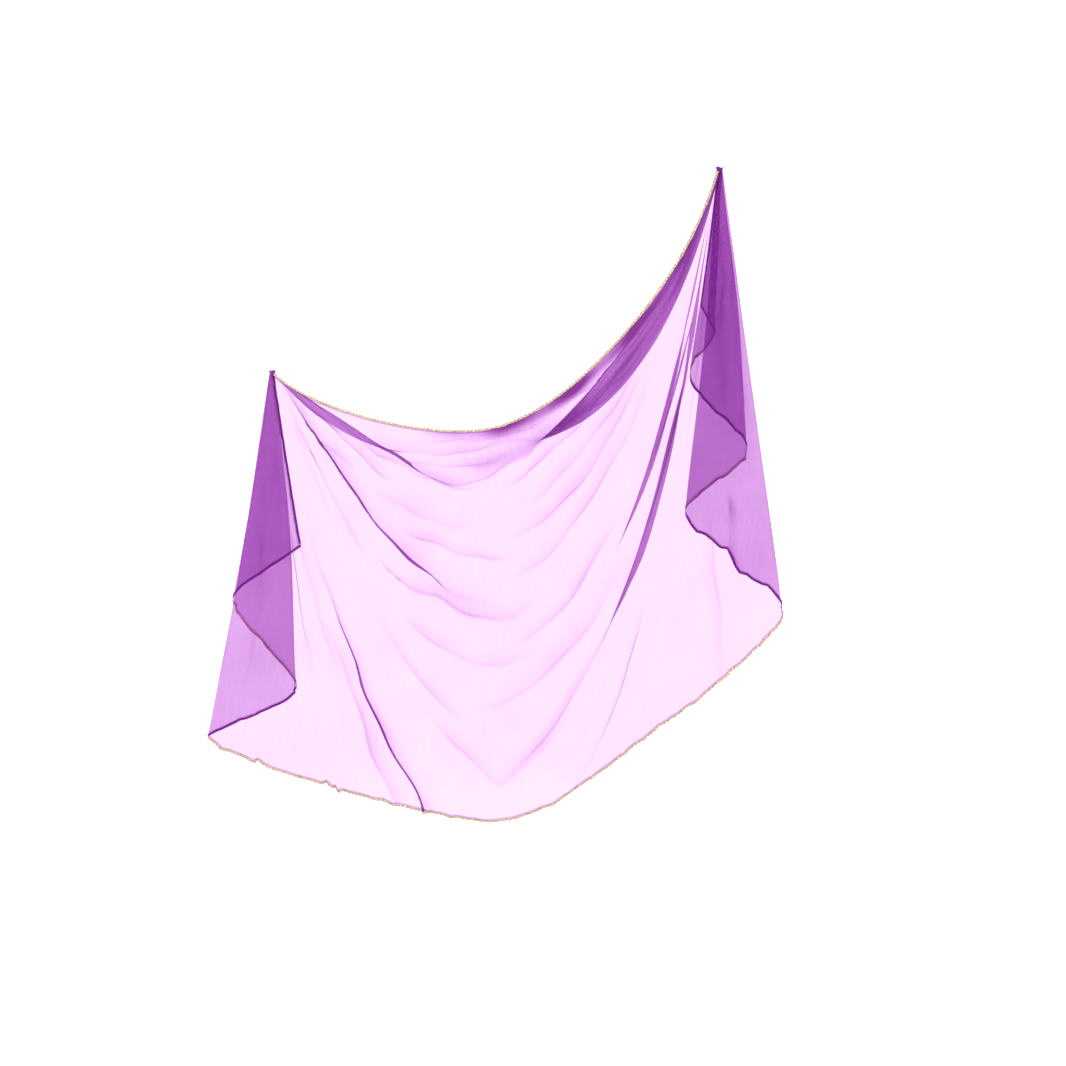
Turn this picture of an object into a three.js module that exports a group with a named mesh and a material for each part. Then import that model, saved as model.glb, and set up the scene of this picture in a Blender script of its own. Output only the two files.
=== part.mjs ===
// Belly dance veil: a half-circle of chiffon held out by two points of its straight edge.
// Millimetres, +Z up, X along the held edge, -Y towards the outer face that carries the gold trim.
// The origin is the right-hand grip.
import * as THREE from 'three';

// ---- the cut and the trim ----
const RADIUS = 1200;
const FREE = { left: 470, right: 380 };
const WALL = 1.5;
const SEAM = 0.3;
const TRIM = { width: 9, thick: 1.2, gap: 0.3 };

// ---- where it is held ----
const GRIP = {
  left: new THREE.Vector3(-1151, 0, -522),
  right: new THREE.Vector3(0, 0, 0),
};
const TUFT = 7;
const PINCH_TURN = 1.8;

// ---- the line where the two fans of folds meet, from the hem up to the held edge ----
// down and deep place a fold on it, steps is the number of columns from there to the next fold
const MEET_X = -562;
// the hem's direction at its foot
const HEM_WAY = new THREE.Vector3(0.995, 0, 0.098);
const MEET = [
  { fold: 'hem', down: 1648, deep: -205, steps: 3 },
  { fold: 'low1', down: 1480, deep: -207, steps: 3 },
  { fold: 'low2', down: 1425, deep: -213, steps: 3 },
  { fold: 'hip1', down: 1290, deep: -192, steps: 3 },
  { fold: 'hip2', down: 1235, deep: -197, steps: 2 },
  { fold: 'swag', down: 1104, deep: -209, steps: 3 },
  { fold: 'waist', down: 970, deep: -181, steps: 2 },
  { fold: 'loop', down: 850, deep: -186, steps: 4 },
  { fold: 'upper', down: 771, deep: -172, steps: 5 },
  { fold: 'lower', down: 719, deep: -177, steps: 5 },
  { fold: 'edge', down: 664, deep: -181, steps: 0 },
];

// ---- folds that run from a grip to the curved hem ----
// cut is the angle from the free end of the straight edge, and it gives the length in the cut
// lean and back aim the fold, leave and arrive are its leans at its ends, bow and swell bend it
// ease rounds its depth off towards the hem, px and py place it in the pinch
// turn is the radius of the bend at the hem, 0 for a soft fold
const LEFT = [
  { fold: 'free', cut: 0, lean: 7.8, back: 16,
    bow: 0, swell: 0, ease: 0, px: 4, py: 9, turn: 0, steps: 6 },
  { fold: 'A', cut: 54, lean: -11.8, back: 14.5,
    bow: 3, swell: 0, ease: 0, px: -7, py: 7.2, turn: 8, steps: 7 },
  { fold: 'B', cut: 79, lean: 4.0, back: 4.2,
    bow: 12, swell: 0, ease: 0, px: 7, py: 3.6, turn: 8, steps: 7 },
  { fold: 'C', cut: 89.5, lean: -9.7, back: -2.1,
    bow: 6, swell: 0, ease: 0, px: -7, py: 0, turn: 8, steps: 5 },
  { fold: 'h1', cut: 93.7, lean: -1.4, back: -5.6,
    bow: 2, swell: -6, ease: 0.25, px: -4, py: -1.6, turn: 0, steps: 3 },
  { fold: 'h2', cut: 97.4, lean: 6.6, back: -5.9,
    bow: 0, swell: 8, ease: 0.5, px: -2, py: -1.8, turn: 0, steps: 3 },
  { fold: 'h3', cut: 100.9, lean: 12.0, back: -8.4, leave: 9, arrive: 19,
    bow: 0, swell: -6, ease: 0.7, px: -1, py: -1.8, turn: 0, steps: 3 },
  { fold: 'h4', cut: 107.1, lean: 20.1, back: -8.5, leave: 10, arrive: 32,
    bow: 0, swell: 12, ease: 0.9, px: 0, py: -1.8, turn: 0, steps: 3 },
];
const RIGHT = [
  { fold: 'free', cut: 0, lean: -6.5, back: 29,
    bow: 0, swell: 0, ease: 0, px: -5, py: 16.2, turn: 0, steps: 4 },
  { fold: 'a', cut: 35, lean: -0.7, back: 19,
    bow: 3, swell: 0, ease: 0, px: 6, py: 14.4, turn: 5, steps: 6 },
  { fold: 'b', cut: 55.4, lean: -7.9, back: 12.6,
    bow: 3, swell: 0, ease: 0, px: -6, py: 10.8, turn: 6, steps: 6 },
  { fold: 'E', cut: 78.3, lean: 6.3, back: 6.6,
    bow: 10, swell: 0, ease: 0, px: 6, py: 7.2, turn: 8, steps: 7 },
  { fold: 'F', cut: 90.5, lean: -5.7, back: 2.2,
    bow: 6, swell: 0, ease: 0, px: -6, py: 3.6, turn: 8, steps: 7 },
  { fold: 'D', cut: 107.1, lean: 8.0, back: -1.7,
    bow: 0, swell: 0, ease: 0, px: 7, py: 0, turn: 8, steps: 5 },
  { fold: 'h1', cut: 112.6, lean: 3.2, back: -4.4,
    bow: 6, swell: -8, ease: 0.2, px: 4, py: -1.6, turn: 0, steps: 3 },
  { fold: 'h2', cut: 118.4, lean: -2.2, back: -4.8,
    bow: 4, swell: 6, ease: 0.4, px: 3, py: -1.8, turn: 0, steps: 3 },
  { fold: 'h3', cut: 124.6, lean: -7.5, back: -6.6, leave: -6, arrive: -12,
    bow: 0, swell: -6, ease: 0.6, px: 2, py: -1.8, turn: 0, steps: 3 },
  { fold: 'h4', cut: 132.3, lean: -12.1, back: -6.6, leave: -7, arrive: -26, haul: 0.7,
    bow: 0, swell: 4, ease: 0.8, px: 0.5, py: -1.8, turn: 0, steps: 2 },
  { fold: 'h5', cut: 138.7, lean: -15.6, back: -7.0, leave: -7.5, arrive: -38, haul: 0.8,
    bow: 0, swell: 0, ease: 0.95, px: -1, py: -1.8, turn: 0, steps: 3 },
];

// ---- folds that swing across from a grip to the line where the fans meet ----
// leave is the lean at the grip, pull and haul are how far the curve keeps its first and last lean
const LEFT_SWAGS = [
  { fold: 'hem', leave: 13, pull: 1.0, haul: 0.7, arrive: 52,
    bow: 0, swell: -4, px: 0.8, py: -1.8, turn: 0 },
  { fold: 'low1', leave: 20, pull: 1.0, haul: 0.6, arrive: 82,
    bow: 0, swell: 4, px: 1.5, py: -1.8, turn: 0 },
  { fold: 'low2', leave: 22, pull: 1.0, haul: 0.65, arrive: 84,
    bow: 0, swell: 8, px: 2.2, py: -1.8, turn: 0 },
  { fold: 'hip1', leave: 24.5, pull: 1.1, haul: 0.8, arrive: 91,
    bow: 0, swell: -4, px: 2.8, py: -1.8, turn: 0 },
  { fold: 'hip2', leave: 26.5, pull: 1.1, haul: 0.8, arrive: 92,
    bow: 0, swell: -4, px: 3.4, py: -1.8, turn: 0 },
  { fold: 'swag', leave: 29.5, pull: 1.1, haul: 1.0, arrive: 92,
    bow: 0, swell: -18, px: 4, py: -1.8, turn: 0 },
  { fold: 'waist', leave: 34, pull: 1.1, haul: 1.0, arrive: 101,
    bow: 0, swell: 8, px: 4.8, py: -1.8, turn: 0 },
  { fold: 'loop', leave: 39, pull: 1.1, haul: 1.0, arrive: 107,
    bow: 0, swell: 5, px: 5.8, py: -1.9, turn: 0 },
  { fold: 'upper', leave: 46, pull: 0.52, haul: 1.14, arrive: 131,
    bow: 37, swell: 4, px: 8, py: -3.6, turn: 3 },
  { fold: 'lower', leave: 43, pull: 1.13, haul: 1.21, arrive: 106.5,
    bow: 0, swell: -9, px: 0, py: -7.2, turn: 3 },
  { fold: 'edge', leave: 47, pull: 0.7, haul: 0.8, arrive: 107,
    bow: 0, swell: -13, px: 8, py: -10.4, turn: 0 },
];
const RIGHT_SWAGS = [
  { fold: 'hem', leave: -8, pull: 1.0, haul: 0.9, arrive: -48,
    bow: 0, swell: -2, px: -2, py: -1.9, turn: 0 },
  { fold: 'low1', leave: -11, pull: 1.1, haul: 0.85, arrive: -60,
    bow: -9, swell: 3, px: -3, py: -2, turn: 2.5 },
  { fold: 'low2', leave: -11, pull: 1.1, haul: 0.85, arrive: -62,
    bow: 14, swell: -3, px: -4, py: -2.1, turn: 2.5 },
  { fold: 'hip1', leave: -13, pull: 1.2, haul: 0.8, arrive: -70,
    bow: -8, swell: 3, px: -5, py: -2.2, turn: 2.5 },
  { fold: 'hip2', leave: -13, pull: 1.2, haul: 0.8, arrive: -72,
    bow: 12, swell: -3, px: -6, py: -2.3, turn: 2.5 },
  { fold: 'swag', leave: -15.5, pull: 1.05, haul: 0.65, arrive: -85,
    bow: 0, swell: 5, px: -7, py: -2.3, turn: 0 },
  { fold: 'waist', leave: -16.5, pull: 1.1, haul: 0.7, arrive: -79,
    bow: 0, swell: 3, px: -7.5, py: -2.3, turn: 0 },
  { fold: 'loop', leave: -17.5, pull: 1.1, haul: 0.7, arrive: -73,
    bow: 0, swell: 11, px: -8, py: -2.4, turn: 0 },
  { fold: 'upper', leave: -16, pull: 0.92, haul: 1.15, arrive: -57.5,
    bow: -18.5, swell: -2, px: -9.5, py: -4.4, turn: 3 },
  { fold: 'lower', leave: -14, pull: 1.7, haul: 0.9, arrive: -87,
    bow: -7, swell: -12, px: -1, py: -9, turn: 3 },
  { fold: 'edge', leave: -18, pull: 1.37, haul: 0.79, arrive: -72.3,
    bow: -15, swell: -18, px: -9, py: -12, turn: 0 },
];

const ROWS = 15;
const LEFT_SPLIT = 'C';
const RIGHT_SPLIT = 'D';
const rad = THREE.MathUtils.degToRad;
const clamp = THREE.MathUtils.clamp;
const BACK = new THREE.Vector3(0, -1, 0);

// Length in the cut from a grip to the curved hem.
function reach(free, cut) {
  const off = RADIUS - free;
  const a = rad(cut);
  return -off * Math.cos(a) + Math.sqrt(RADIUS ** 2 - (off * Math.sin(a)) ** 2);
}

// Unit direction: lean swings it from straight down towards +X, back swings it towards +Y.
function aim(lean, back = 0) {
  const l = rad(lean);
  const b = rad(back);
  return new THREE.Vector3(Math.sin(l) * Math.cos(b), Math.sin(b), -Math.cos(l) * Math.cos(b));
}

function hermite(p0, m0, p1, m1, u) {
  const a = 2 * u ** 3 - 3 * u ** 2 + 1;
  const b = u ** 3 - 2 * u ** 2 + u;
  const c = u ** 3 - u ** 2;
  return new THREE.Vector3()
    .addScaledVector(p0, a)
    .addScaledVector(m0, b)
    .addScaledVector(p1, 1 - a)
    .addScaledVector(m1, c);
}

// A fold line as a curve at(t), from the pinch at t 0 to its far end at t 1.
function foldLine(grip, end, row) {
  const chord = end.clone().sub(grip);
  const length = chord.length();
  const flat = Math.hypot(chord.x, chord.z);
  const lean = THREE.MathUtils.radToDeg(Math.atan2(chord.x, -chord.z));
  const first = aim(row.leave ?? lean).multiplyScalar(flat * (row.pull ?? 1));
  const last = aim(row.arrive ?? lean).multiplyScalar(flat * (row.haul ?? 1));
  first.y = chord.y * (1 + 0.6 * row.ease) * (row.pull ?? 1);
  last.y = chord.y * (1 - row.ease);
  const across = new THREE.Vector3(-chord.z, 0, chord.x).normalize();
  const at = (t) => {
    const p = hermite(grip, first, end, last, t);
    const mid = Math.sin(Math.PI * t) ** 2;
    p.addScaledVector(across, row.bow * mid);
    p.x += row.px * (1 - t) ** 2;
    p.y += row.py * (1 - t) ** 2 + row.swell * mid;
    return p;
  };
  return { at, length, turn: row.turn, steps: row.steps, fold: row.fold, corner: row.corner, swag: row.swag };
}

// All fold lines of one fan, from the free end of the straight edge round to the held edge.
function fan(side, rows, swags) {
  const grip = GRIP[side];
  const lines = rows.map((row) => {
    const end = aim(row.lean, row.back).multiplyScalar(reach(FREE[side], row.cut)).add(grip);
    return foldLine(grip, end, row);
  });
  MEET.forEach((meet, i) => {
    const end = new THREE.Vector3(MEET_X, meet.deep, -meet.down);
    const row = { ...swags[i], steps: meet.steps, ease: 1, swag: true };
    row.corner = i === 0;
    lines.push(foldLine(grip, end, row));
  });
  return lines;
}

// Direction and bend of the cloth across fold line i, where the lines are at points p.
function crossing(lines, p, i, t, side) {
  const before = i > 0 && !(lines[i].corner && side > 0) ? p[i].clone().sub(p[i - 1]) : null;
  const after = i < p.length - 1 && !(lines[i].corner && side < 0) ? p[i + 1].clone().sub(p[i]) : null;
  if (!before || !after) {
    const only = (before ?? after).normalize();
    if (lines[i].corner && before) {
      const way = Math.sign(only.x) * t ** 3;
      only.multiplyScalar(1 - t ** 3).addScaledVector(HEM_WAY, way).normalize();
    }
    return { dir: only, fold: 0, turn: 0 };
  }
  const a = before.length();
  const b = after.length();
  const soft = before.clone().multiplyScalar(b / a).addScaledVector(after, a / b).normalize();
  const bend = before.dot(after) / (a * b);
  const fold = lines[i].turn ? clamp(0.6 - bend, 0, 1) : 0;
  const along = lines[i].at(Math.min(1, t + 0.01)).sub(lines[i].at(Math.max(0, t - 0.01))).normalize();
  const longer = lines[i].swag ? 0 : lines[i + 1].length - lines[i - 1].length;
  const grow = clamp(t * longer / (a + b), -1, 1);
  const round = BACK.clone().addScaledVector(along, -BACK.dot(along)).addScaledVector(along, grow).normalize();
  const dir = soft.multiplyScalar(1 - fold).addScaledVector(round, fold).normalize();
  const turn = PINCH_TURN + (Math.max(lines[i].turn, PINCH_TURN) - PINCH_TURN) * t;
  return { dir, fold, turn };
}

// Point of the cloth between fold lines i and i + 1, at u across and t along.
function cloth(lines, i, u, t) {
  const p = lines.map((line) => line.at(t));
  const one = crossing(lines, p, i, t, 1);
  const two = crossing(lines, p, i + 1, t, -1);
  const gap = p[i].distanceTo(p[i + 1]);
  const flat = Math.hypot(p[i + 1].x - p[i].x, p[i + 1].z - p[i].z);
  const deep = Math.abs(p[i + 1].y - p[i].y);
  const size = (c) => {
    const round = Math.min(Math.sqrt(6 * c.turn * flat), 3.2 * Math.max(deep, c.turn));
    return gap * (1 - c.fold) + round * c.fold;
  };
  return hermite(p[i], one.dir.multiplyScalar(size(one)), p[i + 1], two.dir.multiplyScalar(size(two)), u);
}

// Shares along a stretch: crowded at its ends where the cloth turns round.
function shares(steps, round) {
  const list = [];
  for (let k = 0; k <= steps; k += 1) {
    const u = k / steps;
    list.push(round ? 0.35 * u + 0.65 * (1 - Math.cos(Math.PI * u)) / 2 : u);
  }
  return list;
}

// The columns of one fan: each names a stretch i and its share u of that stretch at t.
// The straight edge and the foot of the meeting line each get a border as wide as the trim.
function columnsOf(lines) {
  const list = [{ i: 0, u: () => 0, fold: lines[0].fold }];
  for (let i = 0; i < lines.length - 1; i += 1) {
    const width = (t) => lines[i].at(t).distanceTo(lines[i + 1].at(t));
    const rim = lines[i].corner
      ? () => TRIM.width / width(1)
      : (t) => Math.min(TRIM.width / width(t), 0.4);
    const opens = i === 0 || lines[i].corner;
    const closes = i === lines.length - 2;
    if (opens) list.push({ i, u: rim });
    for (const share of shares(lines[i].steps, lines[i].turn > 0 || lines[i + 1].turn > 0)) {
      if (share === 0 || (closes && share === 1)) continue;
      const from = (t) => (opens ? rim(t) : 0);
      const to = (t) => (closes ? 1 - rim(t) : 1);
      const column = { i, u: (t) => from(t) + (to(t) - from(t)) * share };
      if (share === 1) column.fold = lines[i + 1].fold;
      list.push(column);
    }
    if (closes) {
      list.push({ i, u: (t) => 1 - rim(t) });
      list.push({ i, u: () => 1, fold: lines[i + 1].fold });
    }
  }
  return list;
}

// The length along t, next to the far end, that makes a border as wide as the trim.
function border(lines, column) {
  const u = column.u(1);
  const end = cloth(lines, column.i, u, 1);
  const step = end.clone().sub(cloth(lines, column.i, u, 0.985));
  const near = cloth(lines, column.i, Math.max(0, u - 0.03), 1);
  const across = cloth(lines, column.i, Math.min(1, u + 0.03), 1).sub(near).normalize();
  const square = Math.max(0.45, Math.sqrt(Math.max(0, 1 - step.clone().normalize().dot(across) ** 2)));
  return 0.015 * TRIM.width / square / step.length();
}

// One fan as points[column][row], with the tuft above the pinch as row 0.
function gridOf(side, lines) {
  const grip = GRIP[side];
  return columnsOf(lines).map((column) => {
    const inner = 1 - border(lines, column);
    const points = [];
    for (let k = 0; k < ROWS; k += 1) {
      const t = inner * (k / (ROWS - 1)) ** 1.45;
      points.push(cloth(lines, column.i, column.u(t), t));
    }
    points.push(cloth(lines, column.i, column.u(1), 1));
    const low = points[0];
    points.unshift(new THREE.Vector3(grip.x + (low.x - grip.x) * 1.25, low.y * 1.15, grip.z + TUFT));
    const cross = [];
    if (column.fold === LEFT_SPLIT || column.fold === RIGHT_SPLIT) {
      for (let k = 0; k <= ROWS + 1; k += 1) {
        const t = k > ROWS ? 1 : inner * (Math.max(0, k - 1) / (ROWS - 1)) ** 1.45;
        cross.push(crossing(lines, lines.map((line) => line.at(t)), column.i + 1, t, 0).dir);
      }
    }
    return { fold: column.fold, points, cross };
  });
}

// The whole cloth as one net of points, with the far ends of the two fans joined.
function netOf() {
  const points = [];
  const cells = [];
  const fans = {};
  for (const side of ['left', 'right']) {
    const lines = side === 'left' ? fan(side, LEFT, LEFT_SWAGS) : fan(side, RIGHT, RIGHT_SWAGS);
    const columns = gridOf(side, lines);
    const foot = columns.findIndex((column) => column.fold === 'hem');
    const ids = columns.map((column, c) => column.points.map((point, k) => {
      const joined = side === 'right' && c >= foot && k === ROWS + 1;
      if (joined) return fans.left.ids[fans.left.foot + c - foot][k];
      points.push(point);
      return points.length - 1;
    }));
    const split = columns.findIndex((column) => column.fold === (side === 'left' ? LEFT_SPLIT : RIGHT_SPLIT));
    fans[side] = { ids, foot, split, columns, last: columns.length - 1 };
  }
  const cell = (side, c, k) => {
    const { ids } = fans[side];
    const ring = [ids[c][k], ids[c][k + 1], ids[c + 1][k + 1], ids[c + 1][k]];
    return side === 'left' ? ring : ring.reverse();
  };
  for (const side of ['left', 'right']) {
    for (let c = 0; c < fans[side].last; c += 1) {
      for (let k = 0; k <= ROWS; k += 1) cells.push(cell(side, c, k));
    }
  }
  return { points, cells, fans, cell };
}

// Outward direction at every point of a net, towards the face that carries the trim.
function facing(points, cells) {
  const normals = points.map(() => new THREE.Vector3());
  for (const ring of cells) {
    const a = points[ring[2]].clone().sub(points[ring[0]]);
    const b = points[ring[3]].clone().sub(points[ring[1]]);
    const n = a.cross(b);
    for (const id of ring) normals[id].add(n);
  }
  return normals.map((n) => n.normalize());
}

// A closed solid between two offsets of a set of cells.
function slab(points, normals, cells, low, high) {
  const used = new Map();
  const xyz = [];
  const place = (id) => {
    if (!used.has(id)) {
      used.set(id, used.size);
      for (const off of [low, high]) {
        xyz.push(...points[id].clone().addScaledVector(normals[id], off).toArray());
      }
    }
    return used.get(id) * 2;
  };
  const index = [];
  const edges = new Map();
  const rim = (a, b) => {
    if (!edges.delete(`${b},${a}`)) edges.set(`${a},${b}`, [a, b]);
  };
  for (const ring of cells) {
    const [a, b, c, d] = ring.map(place);
    index.push(a + 1, b + 1, c + 1, a + 1, c + 1, d + 1);
    index.push(a, c, b, a, d, c);
    rim(a, b);
    rim(b, c);
    rim(c, d);
    rim(d, a);
  }
  for (const [a, b] of edges.values()) {
    index.push(a, b, b + 1, a, b + 1, a + 1);
  }
  const geometry = new THREE.BufferGeometry();
  geometry.setAttribute('position', new THREE.Float32BufferAttribute(xyz, 3));
  geometry.setIndex(index);
  geometry.computeVertexNormals();
  return geometry;
}

const net = netOf();
const normals = facing(net.points, net.cells);
const { fans, cell } = net;

// Cells of one fan between two columns and two rows.
function patch(side, c0, c1, k0, k1) {
  const list = [];
  for (let c = c0; c < c1; c += 1) {
    for (let k = k0; k < k1; k += 1) list.push(cell(side, c, k));
  }
  return list;
}

// Moves the points that pick() names to copies of their own, shifted by move(column, row).
function shifted(cells, side, picks, move) {
  const swap = new Map();
  for (const [c, k] of picks) {
    const id = fans[side].ids[c][k];
    net.points.push(net.points[id].clone().add(move(c, k)));
    normals.push(normals[id].clone());
    swap.set(id, net.points.length - 1);
  }
  return cells.map((ring) => ring.map((id) => swap.get(id) ?? id));
}

const rowsAll = Array.from({ length: ROWS + 2 }, (_, k) => k);

// Draws the cells back from the seam at a fan's split fold, to one side of it.
function unseam(cells, side, sign) {
  const { split, columns } = fans[side];
  const move = (c, k) => columns[c].cross[k].clone().multiplyScalar(sign * SEAM / 2);
  return shifted(cells, side, rowsAll.map((k) => [split, k]), move);
}

const END = ROWS + 1;
const outer = WALL / 2 + TRIM.gap;
const parts = {};

let centre = [];
let hem = [];
let held = [];
for (const side of ['left', 'right']) {
  const { split, last, foot, ids } = fans[side];
  centre.push(...unseam(patch(side, split, last, 0, END), side, 1));
  hem.push(...unseam(patch(side, split, foot + 1, ROWS, END), side, 1));
  held.push(...patch(side, last - 1, last, 2, END));
  const tail = unseam(patch(side, 0, split, 0, END), side, -1);
  const tailHem = unseam(patch(side, 0, split, ROWS, END), side, -1);
  const back = (c, k) => net.points[ids[c][k - 1]].clone().sub(net.points[ids[c][k]]).setLength(TRIM.gap);
  const free = shifted(patch(side, 0, 1, 2, ROWS), side, [[0, ROWS], [1, ROWS]], back);
  parts[`veil_${side}_tail`] = slab(net.points, normals, tail, -WALL / 2, WALL / 2);
  parts[`hem_trim_${side}_tail`] = slab(net.points, normals, tailHem, outer, outer + TRIM.thick);
  parts[`edge_trim_${side}_end`] = slab(net.points, normals, free, outer, outer + TRIM.thick);
}
parts.veil_centre = slab(net.points, normals, centre, -WALL / 2, WALL / 2);
parts.hem_trim_centre = slab(net.points, normals, hem, outer, outer + TRIM.thick);
parts.edge_trim_centre = slab(net.points, normals, held, outer, outer + TRIM.thick);

const chiffon = new THREE.MeshStandardMaterial({ name: 'chiffon', color: 0x9a4fc0, roughness: 0.7 });
const gold = new THREE.MeshStandardMaterial({ name: 'gold_trim', color: 0xc9a24a, roughness: 0.4, metalness: 0.5 });

const veil = new THREE.Group();
veil.name = 'belly_dance_veil';
for (const [name, geometry] of Object.entries(parts)) {
  const mesh = new THREE.Mesh(geometry, name.startsWith('veil') ? chiffon : gold);
  mesh.name = name;
  veil.add(mesh);
}

export default veil;
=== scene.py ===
import math

import bpy
import numpy as np
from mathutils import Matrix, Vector


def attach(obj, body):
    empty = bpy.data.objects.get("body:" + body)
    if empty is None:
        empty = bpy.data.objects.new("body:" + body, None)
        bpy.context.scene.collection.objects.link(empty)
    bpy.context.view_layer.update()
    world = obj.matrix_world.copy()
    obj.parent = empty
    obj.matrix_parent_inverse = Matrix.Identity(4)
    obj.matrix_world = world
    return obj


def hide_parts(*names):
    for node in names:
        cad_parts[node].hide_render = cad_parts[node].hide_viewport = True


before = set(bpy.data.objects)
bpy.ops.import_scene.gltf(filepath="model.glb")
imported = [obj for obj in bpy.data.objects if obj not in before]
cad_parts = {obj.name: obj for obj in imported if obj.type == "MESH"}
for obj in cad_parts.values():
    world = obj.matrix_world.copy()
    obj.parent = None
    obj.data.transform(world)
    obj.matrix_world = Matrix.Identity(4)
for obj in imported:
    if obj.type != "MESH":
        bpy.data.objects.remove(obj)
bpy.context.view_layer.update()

MM_PER_M = 1000.0

# ------------------------------------------------------------------ the cut and its folds, in mm
# The veil is a half circle of chiffon. A fan of folds runs from each of the two points that it is held by,
# and the fans meet on a line in the middle. The origin is the right grip, x runs to the right and z up.
RADIUS = 1200.0
FREE = {"left": 470.0, "right": 380.0}       # the straight edge beyond each grip
CUT_MEET = (-98.0, -1196.0)                  # where the line between the fans meets the hem, in the flat cut
GRIP = {"left": (-1151.0, 0.0, -522.0), "right": (0.0, 0.0, 0.0)}
TUFT = 7.0                                   # the gathered cloth's height over a grip
TUFT_RAGGED = 1.2
PINCH_TURN = 1.8                             # how wide a fold turns round at the grip
MEET_X = -562.0
HEM_WAY = np.array((0.995, 0.0, 0.098))      # the hem's direction where the fans meet
START_EASE = 0.6                             # how much more steeply a fold that levels off sets out
SLOPE_STEP = 0.01                            # the step in t that a fold's direction is read over
TURN_FROM = 0.6                              # cloth turns round a fold if its bend has a lower cosine
DEEP_TURN = 3.2                              # the roundest a turn may be, for each mm of depth
# The line where the fans meet, from the hem up to the held edge.
# fold, down, deep, columns to the next
MEET = [
    ("hem", 1648, -205, 3), ("low1", 1480, -207, 3), ("low2", 1425, -213, 3), ("hip1", 1290, -192, 3),
    ("hip2", 1235, -197, 2), ("swag", 1104, -209, 3), ("waist", 970, -181, 2), ("loop", 850, -186, 4),
    ("upper", 771, -172, 5), ("lower", 719, -177, 5), ("edge", 664, -181, 0),
]
# The folds that end on the hem. cut is the angle from the straight edge in the flat cut. lean and back aim
# the fold, in degrees from straight down, and leave and arrive are its leans at the two ends where they
# differ. haul is how strongly it arrives, bow and swell how far its middle stands to the side and to the
# back, ease how far it levels off, px and py its place in the grip, and turn how wide the cloth turns round
# it, 0 for not at all.
# fold, cut, lean, back, leave, arrive, haul, bow, swell, ease, px, py, turn, columns
N = None
LEFT = [
    ("free", 0, 7.8, 16, N, N, 1, 0, 0, 0, 4, 9, 0, 6),
    ("A", 54, -11.8, 14.5, N, N, 1, 3, 0, 0, -7, 7.2, 8, 7),
    ("B", 79, 4.0, 4.2, N, N, 1, 12, 0, 0, 7, 3.6, 8, 7),
    ("C", 89.5, -9.7, -2.1, N, N, 1, 6, 0, 0, -7, 0, 8, 5),
    ("h1", 93.7, -1.4, -5.6, N, N, 1, 2, -6, 0.25, -4, -1.6, 0, 3),
    ("h2", 97.4, 6.6, -5.9, N, N, 1, 0, 8, 0.5, -2, -1.8, 0, 3),
    ("h3", 100.9, 12.0, -8.4, 9, 19, 1, 0, -6, 0.7, -1, -1.8, 0, 3),
    ("h4", 107.1, 20.1, -8.5, 10, 32, 1, 0, 12, 0.9, 0, -1.8, 0, 3),
]
RIGHT = [
    ("free", 0, -6.5, 29, N, N, 1, 0, 0, 0, -5, 16.2, 0, 4),
    ("a", 35, -0.7, 19, N, N, 1, 3, 0, 0, 6, 14.4, 5, 6),
    ("b", 55.4, -7.9, 12.6, N, N, 1, 3, 0, 0, -6, 10.8, 6, 6),
    ("E", 78.3, 6.3, 6.6, N, N, 1, 10, 0, 0, 6, 7.2, 8, 7),
    ("F", 90.5, -5.7, 2.2, N, N, 1, 6, 0, 0, -6, 3.6, 8, 7),
    ("D", 107.1, 8.0, -1.7, N, N, 1, 0, 0, 0, 7, 0, 8, 5),
    ("h1", 112.6, 3.2, -4.4, N, N, 1, 6, -8, 0.2, 4, -1.6, 0, 3),
    ("h2", 118.4, -2.2, -4.8, N, N, 1, 4, 6, 0.4, 3, -1.8, 0, 3),
    ("h3", 124.6, -7.5, -6.6, -6, -12, 1, 0, -6, 0.6, 2, -1.8, 0, 3),
    ("h4", 132.3, -12.1, -6.6, -7, -26, 0.7, 0, 4, 0.8, 0.5, -1.8, 0, 2),
    ("h5", 138.7, -15.6, -7.0, -7.5, -38, 0.8, 0, 0, 0.95, -1, -1.8, 0, 3),
]
# The folds that end on the line where the fans meet. pull is how strongly a fold leaves the grip.
# fold, leave, pull, haul, arrive, bow, swell, px, py, turn
LEFT_SWAGS = [
    ("hem", 13, 1.0, 0.7, 52, 0, -4, 0.8, -1.8, 0),
    ("low1", 20, 1.0, 0.6, 82, 0, 4, 1.5, -1.8, 0),
    ("low2", 22, 1.0, 0.65, 84, 0, 8, 2.2, -1.8, 0),
    ("hip1", 24.5, 1.1, 0.8, 91, 0, -4, 2.8, -1.8, 0),
    ("hip2", 26.5, 1.1, 0.8, 92, 0, -4, 3.4, -1.8, 0),
    ("swag", 29.5, 1.1, 1.0, 92, 0, -18, 4, -1.8, 0),
    ("waist", 34, 1.1, 1.0, 101, 0, 8, 4.8, -1.8, 0),
    ("loop", 39, 1.1, 1.0, 107, 0, 5, 5.8, -1.9, 0),
    ("upper", 46, 0.52, 1.14, 131, 37, 4, 8, -3.6, 3),
    ("lower", 43, 1.13, 1.21, 106.5, 0, -9, 0, -7.2, 3),
    ("edge", 47, 0.7, 0.8, 107, 0, -13, 8, -10.4, 0),
]
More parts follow.
